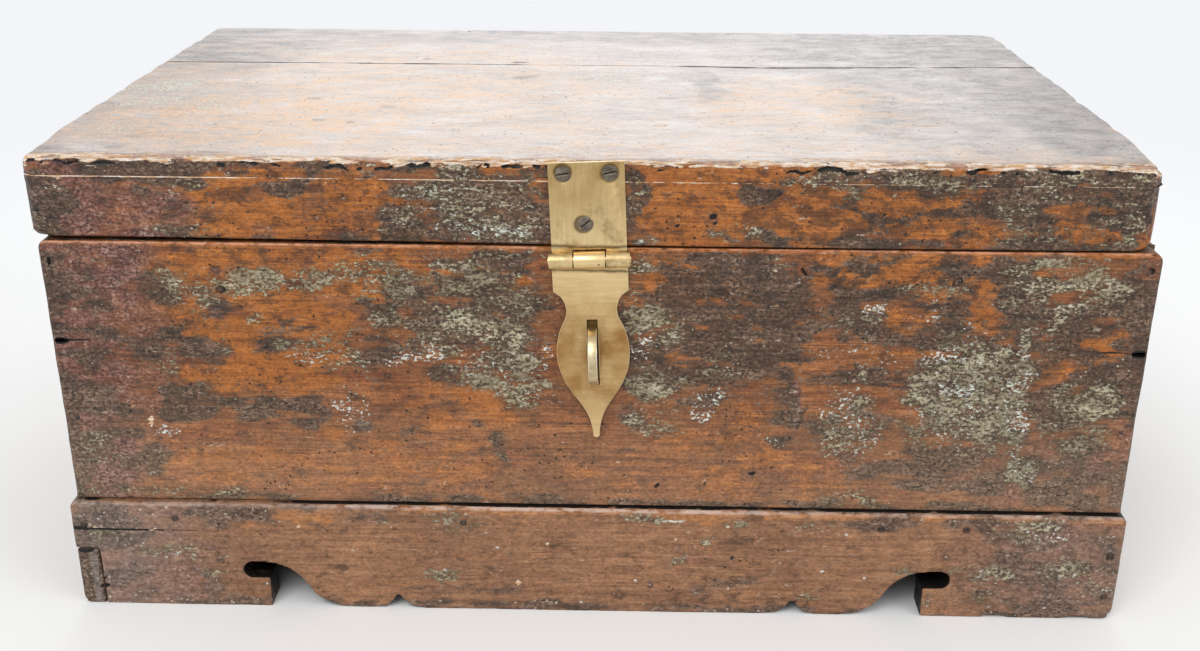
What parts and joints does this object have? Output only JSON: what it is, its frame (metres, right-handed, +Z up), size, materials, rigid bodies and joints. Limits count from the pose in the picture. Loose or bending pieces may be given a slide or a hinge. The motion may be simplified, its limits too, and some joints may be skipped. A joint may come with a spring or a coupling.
{
  "type": "wooden chest",
  "caption": "Small boarded wooden chest on a scalloped plinth, with a hinged boarded lid and a brass hasp that swings over a staple for a padlock.",
  "frame": {"origin": "on the floor, in the middle of the space that the closed chest takes up, hasp and hinges included", "axes": "+X to the right as one faces the hasp, +Y from the hasp to the back hinges, +Z up"},
  "size_m": [0.6174, 0.4092, 0.2768],
  "materials": {
    "case_wood": "old stained teak, worn through to orange brown, with grime and flakes of grey green paint",
    "lid_wood": "old stained teak, top washed pale and scuffed, broken fibres along the front edge",
    "plinth_wood": "old dark brown stained teak, scuffed",
    "aged_brass": "satin aged brass, brushed along its length, rims bright",
    "forged_iron": "dark iron with light rust",
    "dark_steel": "darkened steel, worn round the driver slot"
  },
  "bodies": {
    "case": {"front_board_lower": "case_wood", "front_board_upper": "case_wood", "back_board_lower": "case_wood", "back_board_upper": "case_wood", "left_end_lower": "case_wood", "left_end_upper": "case_wood", "right_end_lower": "case_wood", "right_end_upper": "case_wood", "floor_board_front": "case_wood", "floor_board_back": "case_wood", "plinth_front": "plinth_wood", "plinth_back": "plinth_wood", "plinth_left": "plinth_wood", "plinth_right": "plinth_wood", "cleat_front": "plinth_wood", "cleat_back": "plinth_wood", "case_corner_nails": "forged_iron", "floor_nails": "forged_iron", "plinth_nails": "forged_iron", "front_pegs": "case_wood", "staple": "aged_brass", "staple_plate": "aged_brass", "hinge_left_lower_leaf": "forged_iron", "hinge_right_lower_leaf": "forged_iron", "hinge_left_pin": "forged_iron", "hinge_right_pin": "forged_iron", "hinge_screws_case": "forged_iron"},
    "lid": {"lid_top_front": "lid_wood", "lid_top_back": "lid_wood", "lid_front_rail": "lid_wood", "lid_back_rail": "lid_wood", "lid_left_rail": "lid_wood", "lid_right_rail": "lid_wood", "lid_nails": "forged_iron", "hasp_strap": "aged_brass", "strap_screws": "dark_steel", "hasp_pin": "aged_brass", "hinge_left_upper_leaf": "forged_iron", "hinge_right_upper_leaf": "forged_iron", "hinge_screws_lid": "forged_iron"},
    "hasp": {"hasp_leaf": "aged_brass"}
  },
  "joints": [
    {"name": "lid_hinge", "type": "hinge", "parent": "case", "child": "lid", "pos_m": [0.0008, 0.20065, 0.2286], "axis": [-1, 0, 0], "range_deg": [0, 110]},
    {"name": "hasp_hinge", "type": "hinge", "parent": "lid", "child": "hasp", "pos_m": [-0.003, -0.19075, 0.2227], "axis": [-0.9992, 0, -0.0401], "range_deg": [0, 170]}
  ]
}
